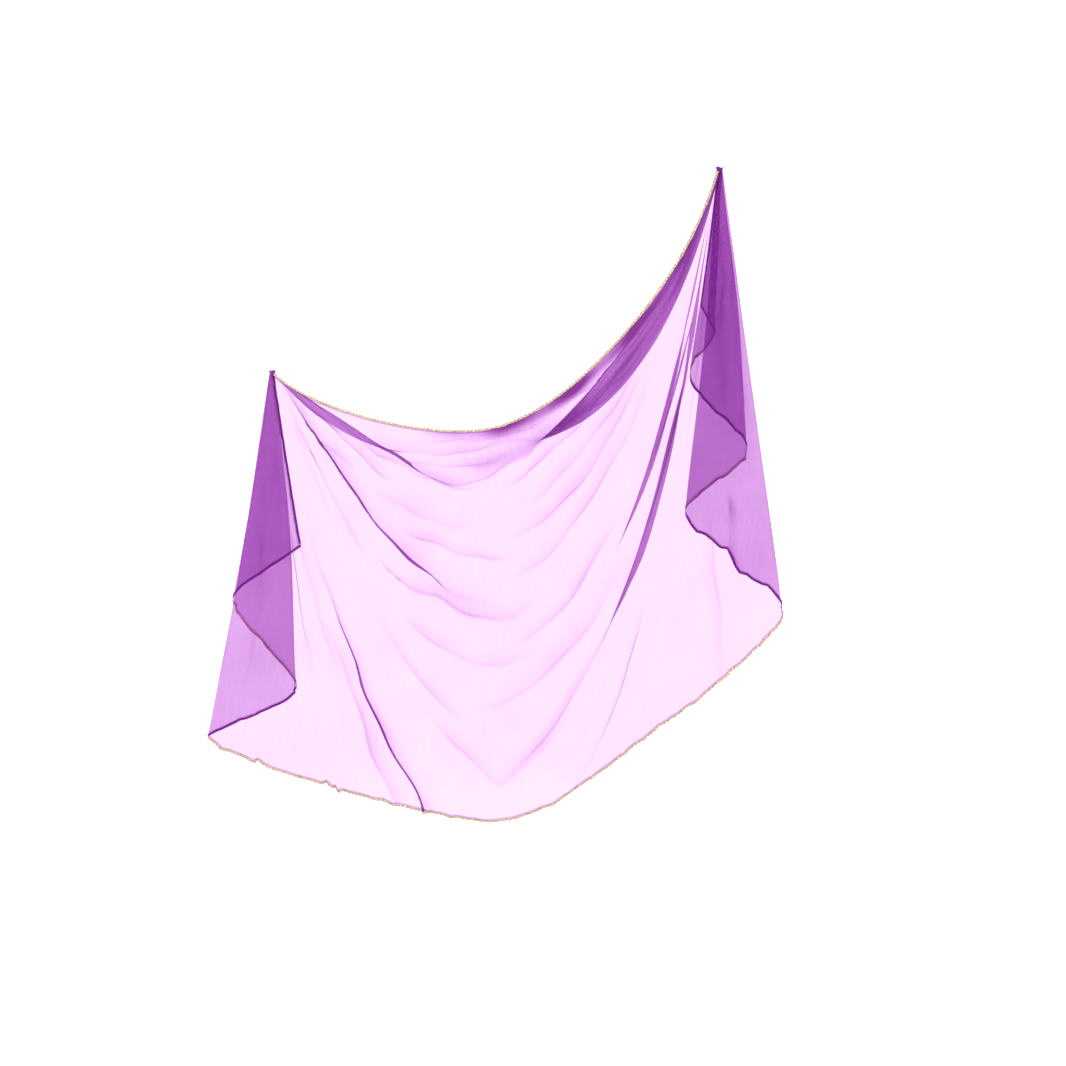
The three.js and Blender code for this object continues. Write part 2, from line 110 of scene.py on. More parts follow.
RIGHT_SWAGS = [
    ("hem", -8, 1.0, 0.9, -48, 0, -2, -2, -1.9, 0),
    ("low1", -11, 1.1, 0.85, -60, -9, 3, -3, -2, 2.5),
    ("low2", -11, 1.1, 0.85, -62, 14, -3, -4, -2.1, 2.5),
    ("hip1", -13, 1.2, 0.8, -70, -8, 3, -5, -2.2, 2.5),
    ("hip2", -13, 1.2, 0.8, -72, 12, -3, -6, -2.3, 2.5),
    ("swag", -15.5, 1.05, 0.65, -85, 0, 5, -7, -2.3, 0),
    ("waist", -16.5, 1.1, 0.7, -79, 0, 3, -7.5, -2.3, 0),
    ("loop", -17.5, 1.1, 0.7, -73, 0, 11, -8, -2.4, 0),
    ("upper", -16, 0.92, 1.15, -57.5, -18.5, -2, -9.5, -4.4, 3),
    ("lower", -14, 1.7, 0.9, -87, -7, -12, -1, -9, 3),
    ("edge", -18, 1.37, 0.79, -72.3, -15, -18, -9, -12, 0),
]
# ------------------------------------------------------------------ creases
# Each follows a fold line, drift stretches on from it at t0 and later at t1 of its length. On the middle,
# which both sides share, t runs on past 1 into the right side and reaches 2 at the right grip.
# wide is the reach in mm, over how far the cloth doubles over (above 1 it is a pleat), high its height,
# and crease_shade how strongly painted shade darkens the cloth along it. The two rows whose over
# and high are 0 are painted shade alone: they darken the roll along the held edge for its further layers.
# part, fold, drift, later, t0, t1, wide, over, high, crease_shade
CREASES = [
    ("middle", "swag", 1.15, 0.02, 0.02, 1.00, 30, 1.85, 3.6, 0.9),
    ("middle", "swag", 1.45, 0.40, 0.06, 0.62, 22, 0.55, 2.0, 0.5),
    ("middle", "swag", -0.25, -0.30, 0.66, 1.12, 24, 0.80, 3.0, 0.7),
    ("middle", "loop", 0.45, 0.10, 0.02, 0.60, 16, 1.35, 2.2, 1.1),
    ("middle", "loop", 1.10, 0.55, 0.05, 0.50, 12, 0.80, 1.6, 0.6),
    ("middle", "loop", -0.5, -0.35, 0.10, 0.46, 18, 0.50, 1.6, 0.35),
    ("middle", "upper", 0.25, 0.05, 0.12, 0.50, 10, 0.60, 1.4, 0.9),
    ("middle", "upper", -0.12, -0.04, 0.38, 1.16, 24, 1.10, 2.6, 0.8),
    ("middle", "upper", -0.50, -0.35, 0.34, 0.98, 20, 0.60, 2.0, 0.45),
    ("middle", "lower", 0.02, 0.15, 0.38, 1.12, 22, 1.00, 2.2, 0.7),
    ("middle", "lower", -0.5, -0.42, 0.50, 1.05, 18, 0.55, 1.8, 0.4),
    ("middle", "lower", 0.55, 0.60, 0.62, 1.30, 15, 0.50, 1.6, 0.35),
    ("middle", "hip2", 0.25, -0.25, 0.14, 0.52, 15, 0.75, 2.0, 0.45),
    ("middle", "hip1", 0.40, 0.60, 0.60, 1.10, 26, 0.55, 3.0, 0.35),
    ("middle", "waist", -0.05, -0.15, 0.62, 1.06, 16, 1.00, 2.4, 0.7),
    ("middle", "waist", 0.45, 0.55, 0.45, 0.95, 26, 0.40, 2.0, 0.25),
    ("middle", "hip1", 0.00, 0.45, 1.34, 1.84, 34, 1.80, 3.8, 0.5),
    ("middle", "low1", 0.05, 0.50, 1.26, 1.80, 42, 1.80, 4.0, 0.6),
    ("middle", "low1", -0.35, -0.10, 0.98, 1.42, 22, 0.85, 3.0, 0.7),
    ("middle", "low2", 0.45, 0.60, 0.90, 1.40, 26, 0.60, 3.0, 0.4),
    ("middle", "swag", 0.45, 0.60, 1.02, 1.62, 26, 0.75, 3.2, 0.55),
    ("middle", "waist", 0.10, 0.30, 1.00, 1.58, 22, 0.85, 3.5, 0.75),
    ("middle", "waist", 0.70, 0.80, 1.06, 1.70, 20, 0.60, 2.8, 0.45),
    ("middle", "loop", 0.30, 0.40, 0.98, 1.62, 20, 0.95, 3.6, 0.9),
    ("middle", "loop", 0.75, 0.70, 1.05, 1.76, 17, 0.65, 2.4, 0.6),
    ("middle", "upper", 0.30, 0.35, 1.02, 1.92, 16, 0.60, 1.8, 1.0),
    ("middle", "upper", 0.62, 0.62, 1.05, 1.94, 12, 0.50, 1.5, 0.7),
    ("middle", "upper", -0.15, -0.10, 1.00, 1.60, 16, 0.80, 2.4, 0.8),
    ("middle", "lower", 0.25, 0.25, 1.00, 1.92, 14, 0.50, 1.5, 0.8),
    # painted shade alone: these two darken the roll along the held edge
    ("middle", "lower", 0.90, 0.80, 0.60, 2.30, 42, 0.0, 0.0, 2.6),
    ("middle", "upper", 0.50, 0.50, 0.70, 2.90, 46, 0.0, 0.0, 1.3),
    ("middle", "lower", 0.70, 0.75, 1.05, 1.90, 16, 0.50, 1.5, 0.6),
    ("middle", "low2", 0.50, 0.10, 0.10, 0.36, 12, 0.60, 1.8, 0.5),
    ("middle", "hip2", -0.30, 0.20, 0.06, 0.30, 10, 0.70, 1.6, 0.6),
    ("middle", "waist", 0.60, 0.20, 0.04, 0.34, 11, 0.90, 1.8, 0.8),
    ("middle", "upper", -0.75, -0.60, 0.05, 0.40, 10, 0.70, 1.6, 0.7),
    ("middle", "swag", -0.55, -0.25, 0.52, 0.82, 13, 1.05, 2.2, 0.8),
    ("middle", "low1", 0.60, 0.90, 0.52, 0.92, 24, 0.70, 2.6, 0.5),
    ("middle", "hem", 0.70, 0.50, 0.70, 1.20, 26, 0.60, 2.6, 0.4),
    ("middle", "hip2", 0.10, 0.50, 1.02, 1.40, 18, 0.85, 2.8, 0.7),
    ("left", "h4", 0.16, -0.12, 0.30, 1.42, 19, 1.84, 3.2, 1.4),
    ("left", "h4", -0.30, -0.42, 0.55, 1.20, 20, 0.65, 2.4, 0.6),
    ("left", "h3", 0.20, 0.50, 0.22, 0.72, 16, 0.60, 2.0, 0.35),
    ("left", "h2", 0.30, 0.45, 0.30, 0.80, 22, 0.60, 3.0, 0.25),
    ("left", "A", 0.50, 0.40, 0.15, 0.85, 18, 0.60, 3.0, 0.35),
    ("left", "A", 0.20, 0.30, 0.10, 0.60, 14, 0.50, 2.0, 0.3),
    ("left", "B", 0.60, 0.50, 0.25, 0.95, 20, 0.55, 3.0, 0.3),
    ("left", "B", 0.25, 0.30, 0.05, 0.55, 12, 0.50, 2.0, 0.35),
    ("right", "h2", 0.00, -0.45, 0.62, 1.03, 22, 0.70, 3.0, 0.35),
    ("right", "h4", 0.50, 0.40, 0.60, 1.02, 16, 1.00, 2.6, 0.45),
    ("right", "h3", 0.60, 0.50, 0.15, 0.50, 18, 0.60, 2.6, 0.3),
    ("right", "F", 0.50, 0.42, 0.80, 1.10, 14, 1.75, 3.0, 1.0),
    ("right", "F", 0.22, 0.30, 0.05, 0.60, 12, 0.60, 2.0, 0.5),
    ("right", "F", 0.70, 0.62, 0.10, 0.75, 14, 0.55, 2.4, 0.35),
    ("right", "E", 0.50, 0.45, 0.12, 0.90, 18, 0.60, 3.0, 0.45),
    ("right", "E", 0.80, 0.78, 0.05, 0.60, 12, 0.60, 2.0, 0.5),
    ("right", "b", 0.50, 0.50, 0.10, 0.90, 16, 0.70, 2.4, 0.5),
    ("right", "a", 0.45, 0.55, 0.10, 0.80, 14, 0.60, 2.0, 0.4),
]

FINE = 4              # columns for each one of the tables'
FINE_MIDDLE = 9       # the same between the fans' folds that meet
ROWS = 96
ROW_CROWDING = 1.3                    # above 1 puts more rows by the grips
TURN_CROWDING = 0.65                  # the share of the columns that crowd where the cloth turns round
MARK_REACH = 0.2                      # how far to each side of a crease its own columns reach
MARK_COLUMNS = 11
CLOSEST = 0.016                       # columns nearer to each other than this are dropped


def unit(v):
    return v / np.maximum(np.linalg.norm(v, axis=-1, keepdims=True), 1e-12)


def smooth(a, b, x):
    s = np.clip((x - a) / (b - a), 0.0, 1.0)
    return s * s * (3 - 2 * s)


def aim(lean, back=0.0):
    l, b = math.radians(lean), math.radians(back)
    return np.array((math.sin(l) * math.cos(b), math.sin(b), -math.cos(l) * math.cos(b)))


def length_along(points):
    return np.concatenate(([0.0], np.cumsum(np.linalg.norm(np.diff(points, axis=0), axis=1))))


def hermite(p0, m0, p1, m1, u):
    a = 2 * u ** 3 - 3 * u ** 2 + 1
    return a * p0 + (u ** 3 - 2 * u ** 2 + u) * m0 + (1 - a) * p1 + (u ** 3 - u ** 2) * m1


def fold_line(grip, end, leave, arrive, pull, haul, bow, swell, ease, px, py):
    """One fold as a function of t, from the pinch to its far end."""
    chord = end - grip
    flat = math.hypot(chord[0], chord[2])
    lean = math.degrees(math.atan2(chord[0], -chord[2]))
    first = aim(lean if leave is None else leave) * flat * pull
    last = aim(lean if arrive is None else arrive) * flat * haul
    first[1] = chord[1] * (1 + START_EASE * ease) * pull
    last[1] = chord[1] * (1 - ease)
    across = unit(np.array((-chord[2], 0.0, chord[0])))

    def at(t):
        mid = math.sin(math.pi * t) ** 2
        p = hermite(grip, first, end, last, t) + across * bow * mid
        p[0] += px * (1 - t) ** 2
        p[1] += py * (1 - t) ** 2 + swell * mid
        return p

    return at, float(np.linalg.norm(chord))


def reach(side, cut):
    off, a = RADIUS - FREE[side], math.radians(cut)
    return -off * math.cos(a) + math.sqrt(RADIUS ** 2 - (off * math.sin(a)) ** 2)


class Fan:
    """The folds of one side, from the free end of the straight edge round to the held edge."""

    def __init__(self, side, rows, swags):
        self.lines, self.length, self.turn, self.steps, self.names, self.flat = [], [], [], [], [], []
        self.side, self.grip = side, np.array(GRIP[side])
        way = -1 if side == "left" else 1
        foot = np.array((way * (RADIUS - FREE[side]), 0.0))
        for name, cut, lean, back, leave, arrive, haul, bow, swell, ease, px, py, turn, steps in rows:
            end = self.grip + aim(lean, back) * reach(side, cut)
            line = fold_line(self.grip, end, leave, arrive, 1.0, haul, bow, swell, ease, px, py)
            self.add(name, line, turn, steps)
            a = math.radians(cut)
            self.flat.append((foot, foot + reach(side, cut) * np.array((way * math.cos(a), -math.sin(a)))))
        self.corner = len(rows)
        for k, ((name, down, deep, steps), row) in enumerate(zip(MEET, swags)):
            _, leave, pull, haul, arrive, bow, swell, px, py, turn = row
            end = np.array((MEET_X, deep, -down), dtype=float)
            line = fold_line(self.grip, end, leave, arrive, pull, haul, bow, swell, 1.0, px, py)
            self.add(name, line, turn, steps)
            self.flat.append((foot, np.array((CUT_MEET[0], CUT_MEET[1] * (1 - k / (len(MEET) - 1))))))

    def add(self, name, line, turn, steps):
        self.names.append(name)
        self.lines.append(line[0])
        self.length.append(line[1])
        self.turn.append(turn)
        self.steps.append(steps)

    def section(self, t):
        """Points on the folds at t, the cloth's direction on both sides of each, how it turns, and sizes."""
        p = np.array([f(t) for f in self.lines])
        ahead = np.array([f(min(1.0, t + SLOPE_STEP)) for f in self.lines])
        along = unit(ahead - np.array([f(max(0.0, t - SLOPE_STEP)) for f in self.lines]))
        d = p[1:] - p[:-1]
        size = np.linalg.norm(d, axis=1)
        count = len(p)
        arrive, leave, fold = np.zeros((count, 3)), np.zeros((count, 3)), np.zeros(count)
        for i in range(count):
            if i in (0, count - 1, self.corner):
                arrive[i], leave[i] = unit(d[max(i - 1, 0)]), unit(d[min(i, count - 2)])
                if i == self.corner:
                    way = HEM_WAY if self.side == "left" else -HEM_WAY
                    arrive[i] = unit(arrive[i] * (1 - t ** 3) + way * t ** 3)
                continue
            a, b = size[i - 1], size[i]
            soft = unit(d[i - 1] * (b / a) + d[i] * (a / b))
            bend = float(d[i - 1] @ d[i]) / (a * b)
            fold[i] = min(max(TURN_FROM - bend, 0.0), 1.0) if self.turn[i] else 0.0
            longer = 0.0 if i >= self.corner else self.length[i + 1] - self.length[i - 1]
            grow = min(max(t * longer / (a + b), -1.0), 1.0)
            back = np.array((0.0, -1.0, 0.0))
            turned = unit(back - along[i] * float(back @ along[i]) + along[i] * grow)
            arrive[i] = leave[i] = unit(soft * (1 - fold[i]) + turned * fold[i])
        turn = np.array([PINCH_TURN + (max(v, PINCH_TURN) - PINCH_TURN) * t for v in self.turn])
        return p, arrive, leave, fold, turn, size

    def cloth(self, t, i, u):
        """The cloth's points at t, for stretches i and shares u of them."""
        p, arrive, leave, fold, turn, size = self.section(t)
        flat = np.hypot(p[1:, 0] - p[:-1, 0], p[1:, 2] - p[:-1, 2])
        deep = np.abs(p[1:, 1] - p[:-1, 1])

        def scale(j):
            bent = np.minimum(np.sqrt(6 * turn[j] * flat[i]), DEEP_TURN * np.maximum(deep[i], turn[j]))
            return (size[i] * (1 - fold[j]) + bent * fold[j])[:, None]

        return hermite(p[i], leave[i] * scale(i), p[i + 1], arrive[i + 1] * scale(i + 1), u[:, None])

    def columns(self):
        """Every column's stretch and share of it: crowded where the cloth turns round and along creases."""
        own = spread(self.steps[:self.corner], self.turn[:self.corner + 1], self.marks(), FINE)
        other = [max(a[-1], b[-1]) for a, b in zip(LEFT_SWAGS, RIGHT_SWAGS)]
        shared = spread([row[3] for row in MEET[:-1]], other, [], FINE_MIDDLE)
        return np.concatenate((own, self.corner + shared[1:])), len(own) - 1

    def marks(self):
        """Where this side's creases run, halfway along them."""
        return sorted({self.names.index(fold) + (drift + later) / 2
                       for part, fold, drift, later, *_ in CREASES if part == self.side})


def spread(steps, turns, marks, fine):
    """The columns' places over a row of stretches: whole numbers are folds, and marks get their own."""
    where = [0.0]
    for i, count in enumerate(steps):
        k = np.arange(1, count * fine + 1) / (count * fine)
        if turns[i] or turns[i + 1]:
            k = (1 - TURN_CROWDING) * k + TURN_CROWDING * (1 - np.cos(np.pi * k)) / 2
        where += list(i + k)
    for mark in marks:
        where += list(mark + np.linspace(-MARK_REACH, MARK_REACH, MARK_COLUMNS))
    where = np.unique(np.round([w for w in where if 0 <= w <= len(steps)], 4))
    kept = [0.0]
    for w in where[1:]:
        whole = abs(w - round(w)) < 1e-6
        if w - kept[-1] < CLOSEST:
            if not whole:
                continue
            if abs(kept[-1] - round(kept[-1])) > 1e-6:
                kept.pop()
        kept.append(float(w))
    return np.array(kept)


GROWS, FADES = 0.3, 0.35              # the shares of a crease's length that it grows and fades over
WANDER = 0.04                         # how far a crease strays from its line, in stretches
UNEVEN_WIDTH = 0.15
REACHES = 3.0                         # how many times its width a crease moves the cloth
RIDGE = 1.65                          # a ridge and its trough each reach 0.7 of the stated height
SHADE_LINE_WIDTH = 0.4                    # the dark line of painted shade on the crease, in the crease's widths
WAKE, WAKE_AT, WAKE_WIDTH = 0.4, 0.7, 0.9     # a softer band of painted shade beside it: its share, its place and its width


def crease(grid, shade_tone, cols, ts, start, later, t0, t1, wide, over, high, crease_shade, side):
    """Folds the sheet over itself, or ridges it, along one line of it, and paints shade on it and beside it.
    """
    long = t1 - t0
    for k, t in enumerate(ts):
        rise = smooth(t0, t0 + GROWS * long, t) * (1 - smooth(t1 - FADES * long, t1, t))
        if rise <= 0.0:
            continue
        stray = WANDER * (math.sin(17.0 * t + 5.0 * start) + 0.6 * math.sin(41.0 * t + start)) if over else 0
        mid = start + (later - start) * smooth(0, 1, (t - t0) / long) + stray
        p = grid[k, :len(cols)]
        s = length_along(p)
        s = s - np.interp(mid, cols, s)
        w = wide * (1 - UNEVEN_WIDTH + UNEVEN_WIDTH * math.sin(9.0 * t + mid))
        near = np.abs(s) < REACHES * w
        if near.sum() < 4:
            continue
        tangent = unit(np.gradient(p, axis=0))
        along = unit(grid[min(k + 1, len(ts) - 1), :len(cols)] - grid[max(k - 1, 0), :len(cols)])
        normal = unit(np.cross(along, tangent)) * side
        x = s[near] / w
        bell = np.exp(-x ** 2)
        middle = tangent[np.argmin(np.abs(s))]
        way = unit(tangent[near] * (1 - bell[:, None]) + middle * bell[:, None])
        p[near] += (normal[near] * (high * rise * RIDGE * x * bell)[:, None]
                    - way * (over * rise * s[near] * bell)[:, None])
        uneven = 0.75 + 0.25 * math.sin(23.0 * t + 3.0 * start)
        # painted shade: a dark line on the crease and a softer band to one side of it
        shade_profile = np.exp(-(x / SHADE_LINE_WIDTH) ** 2) + WAKE * np.exp(-((x - WAKE_AT) / WAKE_WIDTH) ** 2)
        shade_tone[k, :len(cols)][near] += crease_shade * rise * uneven * shade_profile


def fan_grid(fan):
    """The fan as points[row, column] with the parameter of each, and its place in the flat cut."""
    cols, corner = fan.columns()
    i = np.minimum(cols.astype(int), len(fan.lines) - 2)
    u = cols - i
    ts = (np.arange(ROWS + 1) / ROWS) ** ROW_CROWDING
    grid = np.array([fan.cloth(t, i, u) for t in ts])
    ends = np.array([f[1] for f in fan.flat])
    end = ends[i] * (1 - u)[:, None] + ends[i + 1] * u[:, None]
    flat = fan.flat[0][0] * (1 - ts)[:, None, None] + end[None] * ts[:, None, None]
    return grid, flat, cols, corner, ts, np.ones(grid.shape[:2])


fans = {"left": Fan("left", LEFT, LEFT_SWAGS), "right": Fan("right", RIGHT, RIGHT_SWAGS)}
made = {side: fan_grid(fan) for side, fan in fans.items()}
sign = {"left": 1, "right": -1}
for part, fold, drift, later, *shape in CREASES:
    if part in fans:
        grid, _, cols, _, ts, shade_tone = made[part]
        at = fans[part].names.index(fold)
        crease(grid, shade_tone, cols, ts, at + drift, at + later, *shape, sign[part])

# The cloth stands edge on where it turns round: painted shade, tone alone, darkens it along the whole fold.
EDGE_ON_SHADE = dict(t0=-0.3, t1=1.6, wide=7.0, over=0.0, high=0.0, crease_shade=0.9)
for side, fan in fans.items():
    grid, _, cols, corner, ts, shade_tone = made[side]
    for at in range(1, fan.corner):
        if fan.turn[at] > 0:
            crease(grid, shade_tone, cols[:corner + 1], ts, at, at, **EDGE_ON_SHADE, side=sign[side])

# The middle as one net, from the left grip across to the right one.
L, Lflat, Lcols, Lc, ts, Lshade = made["left"]
R, Rflat, Rcols, Rc, _, Rshade = made["right"]
middle = np.concatenate((L[:-1, Lc:], (L[-1:, Lc:] + R[-1:, Rc:]) / 2, R[-2::-1, Rc:]))
middle_shade = np.ones(middle.shape[:2])
run = np.concatenate((ts, 2 - ts[-2::-1]))
for part, fold, drift, later, *shape in CREASES:
    if part == "middle":
        at = fans["left"].names.index(fold)
        crease(middle, middle_shade, Lcols[Lc:], run, at + drift, at + later, *shape, 1)
SEAM_REACH = 0.12                     # smooths the depth, so that no crease shows where the two fans meet
for _ in range(12):
    near = np.exp(-((run - 1) / SEAM_REACH) ** 2)[1:-1, None]
    y = middle[:, :, 1]
    y[1:-1] += near * 0.5 * ((y[:-2] + y[2:]) / 2 - y[1:-1])
TAIL_SHADE = 0.17                    # painted shade: the right end is darkened all over, for the less light from behind it
outer = fans["right"].names.index("D")
Rshade[:, :Rc] *= 1 + TAIL_SHADE * (1 - smooth(outer - 0.3, outer + 0.3, Rcols[:Rc]))
L[:, Lc:] = middle[:ROWS + 1]
R[:, Rc:] = middle[ROWS:][::-1]
Lshade[:, Lc:] = np.maximum(Lshade[:, Lc:], middle_shade[:ROWS + 1])
Rshade[:, Rc:] = np.maximum(Rshade[:, Rc:], middle_shade[ROWS:][::-1])


def ripple(s, seed):
    """An uneven wave along a length s in mm, between -1 and 1."""
    return (np.sin(s / 19.0 + seed) + 0.8 * np.sin(s / 31.0 + 2.1 * seed)
            + 0.6 * np.sin(s / 11.3 + 3.7 * seed) + 0.7 * np.sin(s / 67.0 + seed)) / 3.1


def facing(grid, side):
    across = np.gradient(grid, axis=1)
    along = np.gradient(grid, axis=0)
    return unit(np.cross(along, across)) * sign[side]


# The hem isn't flat: it flutes a little, and short folds run up from it.
# part of the hem's length, height, half width, how far up it goes
HEM_FOLDS = [
    (0.035, 5, 14, 70), (0.07, -7, 9, 60), (0.10, -6, 16, 90), (0.15, 8, 9, 60), (0.185, -7, 8, 50),
    (0.235, -5, 13, 70), (0.269, 9, 8, 60), (0.30, -8, 9, 70), (0.325, -12, 8, 60), (0.37, 12, 8, 130),
    (0.40, -9, 10, 80), (0.43, -5, 14, 70), (0.47, 6, 12, 90), (0.52, -5, 20, 90), (0.56, 8, 10, 80),
    (0.585, -8, 10, 110), (0.62, -6, 13, 60), (0.655, 9, 10, 120), (0.68, -9, 9, 70), (0.70, -5, 14, 60),
    (0.752, 12, 9, 120), (0.79, -8, 9, 60), (0.83, -6, 16, 70), (0.86, 10, 9, 90), (0.885, -10, 9, 110),
    (0.92, 7, 11, 60), (0.95, -6, 10, 60), (0.975, 5, 9, 50),
]
# The hem is also drawn up in places and hangs lower in others.
# part of the hem's length, how much lower, half width, how far up it goes
HEM_KINKS = [
    (0.035, 3, 14, 30), (0.105, -4, 12, 30), (0.150, 3, 10, 30), (0.195, -4, 9, 30), (0.239, 5, 14, 30),
    (0.269, -12, 7, 26), (0.300, 4, 18, 30), (0.319, -10, 8, 30), (0.329, 13, 6, 40), (0.362, -5, 12, 30),
    (0.393, 4, 12, 30), (0.420, -3, 14, 30), (0.487, 5, 18, 30), (0.512, -5, 9, 30), (0.545, 4, 12, 30),
    (0.575, -5, 10, 30), (0.608, 4, 14, 30), (0.640, -5, 9, 30), (0.668, 4, 10, 30), (0.719, -8, 14, 40),
    (0.735, 11, 36, 90), (0.7465, 20, 17, 90), (0.756, -18, 17, 90), (0.770, -12, 36, 90), (0.785, 5, 14, 30),
    (0.835, -5, 12, 30), (0.905, 5, 16, 30),
]
FLUTE, FLUTE_REACH = 3.2, 34.0        # the hem's fine waves, out of the sheet and how far up
RAGGED, RAGGED_REACH = 2.6, 16.0      # and along it
hem = np.concatenate((L[-1, :Lc], R[-1, Rc::-1]))
hem_s = length_along(hem)
whole = hem_s[-1]
for side, grid, corner in (("left", L, Lc), ("right", R, Rc)):
    s = hem_s[:Lc + 1] if side == "left" else hem_s[Lc:][::-1]
    columns = slice(0, corner + 1)
    normal = facing(grid, side)[:, columns]
    part = grid[:, columns]
    back = part[::-1]
    up = np.cumsum(np.linalg.norm(np.diff(back, axis=0), axis=2), axis=0)[::-1]
    up = np.concatenate((up, np.zeros((1, corner + 1))))
    rise = FLUTE * ripple(s, 1.0) * np.exp(-(up / FLUTE_REACH) ** 2)
    slide = RAGGED * ripple(s * 1.3, 4.0) * np.exp(-(up / RAGGED_REACH) ** 2)
    for place, high, wide, far in HEM_FOLDS:
        across = np.exp(-((s - place * whole) / (wide * (0.6 + up / far))) ** 2)
        rise = rise + high * across * np.exp(-up / far)
    for place, low, wide, far in HEM_KINKS:
        slide = slide + low * np.exp(-((s - place * whole) / wide) ** 2) * np.exp(-(up / far) ** 2)
    away = unit(part[-1] - part[-2])
    grid[:, columns] += normal * rise[..., None] + away * slide[..., None]
R[-1, Rc:] = L[-1, Lc:]


# ------------------------------------------------------------------ the sheet as one mesh
def with_tuft(side, grid, flat, shade_tone):
    """The fan with two more rows on top: the gathered cloth that stands out over the grip."""
    grip, cap = fans[side].grip, []
    for share in (1.0, 0.5):
        top = grid[0].copy()
        top[:, 0] = grip[0] + (top[:, 0] - grip[0]) * (1 + 0.25 * share)
        top[:, 1] *= 1 + 0.15 * share
        top[:, 2] = grip[2] + TUFT * share + TUFT_RAGGED * share * np.sin(np.arange(len(top)) * 0.7)
        cap.append(top)
    more = ((cap, grid), ([flat[0]] * 2, flat), ([shade_tone[0]] * 2, shade_tone))
    return [np.concatenate(rows) for rows in more]


L, Lflat, Lshade = with_tuft("left", L, Lflat, Lshade)
R, Rflat, Rshade = with_tuft("right", R, Rflat, Rshade)

idsL = np.arange(L.shape[0] * L.shape[1]).reshape(L.shape[:2])
idsR = L.shape[0] * L.shape[1] + np.arange(R.shape[0] * R.shape[1]).reshape(R.shape[:2])
idsR[-1, Rc:] = idsL[-1, Lc:]
verts = np.concatenate((L.reshape(-1, 3), R.reshape(-1, 3)))
flats = np.concatenate((Lflat.reshape(-1, 2), Rflat.reshape(-1, 2)))
shade_tones = np.concatenate((Lshade.ravel(), Rshade.ravel()))


def quads(ids, flip):
    a, b, c, d = ids[:-1, :-1], ids[1:, :-1], ids[1:, 1:], ids[:-1, 1:]
    ring = (a, d, c, b) if flip else (a, b, c, d)
    return np.stack([x.ravel() for x in ring], axis=1)


faces = np.concatenate((quads(idsL, False), quads(idsR, True)))
used = np.unique(faces)
renumber = np.full(len(verts), -1)
renumber[used] = np.arange(len(used))
verts, flats, shade_tones, faces = verts[used], flats[used], shade_tones[used], renumber[faces]


def mesh(name, points, rings, material, uv=None):
    """An object from points and flat-cut coordinates in mm. Blender's are in metres."""
    data = bpy.data.meshes.new(name)
    data.from_pydata((np.asarray(points) / MM_PER_M).tolist(), [], rings)
    data.polygons.foreach_set("use_smooth", [True] * len(data.polygons))
    if uv is not None:
        layer = data.uv_layers.new(name="cut")
        loops = np.empty(len(data.loops), dtype=np.int32)
        data.loops.foreach_get("vertex_index", loops)
        layer.data.foreach_set("uv", (np.asarray(uv)[loops] / MM_PER_M).ravel())
    data.update()
    o = bpy.data.objects.new(name, data)
    bpy.context.scene.collection.objects.link(o)
    data.materials.append(material)
    return o


# ------------------------------------------------------------------ materials
class Nodes:
    """A material's nodes, made and wired by short calls."""

    def __init__(self, name):
        self.material = bpy.data.materials.new(name)
        self.material.use_nodes = True
        self.tree = self.material.node_tree
        self.tree.nodes.clear()

    def add(self, kind, inputs=None, **settings):
        node = self.tree.nodes.new(kind)
        for key, value in settings.items():
            setattr(node, key, value)
        for key, value in (inputs or {}).items():
            if isinstance(value, bpy.types.NodeSocket):
                self.tree.links.new(value, node.inputs[key])
            else:
                node.inputs[key].default_value = value
        return node


CLOTH_COLOURS = {"A_Color": (0.115, 0.008, 0.145, 1), "B_Color": (0.165, 0.011, 0.20, 1)}


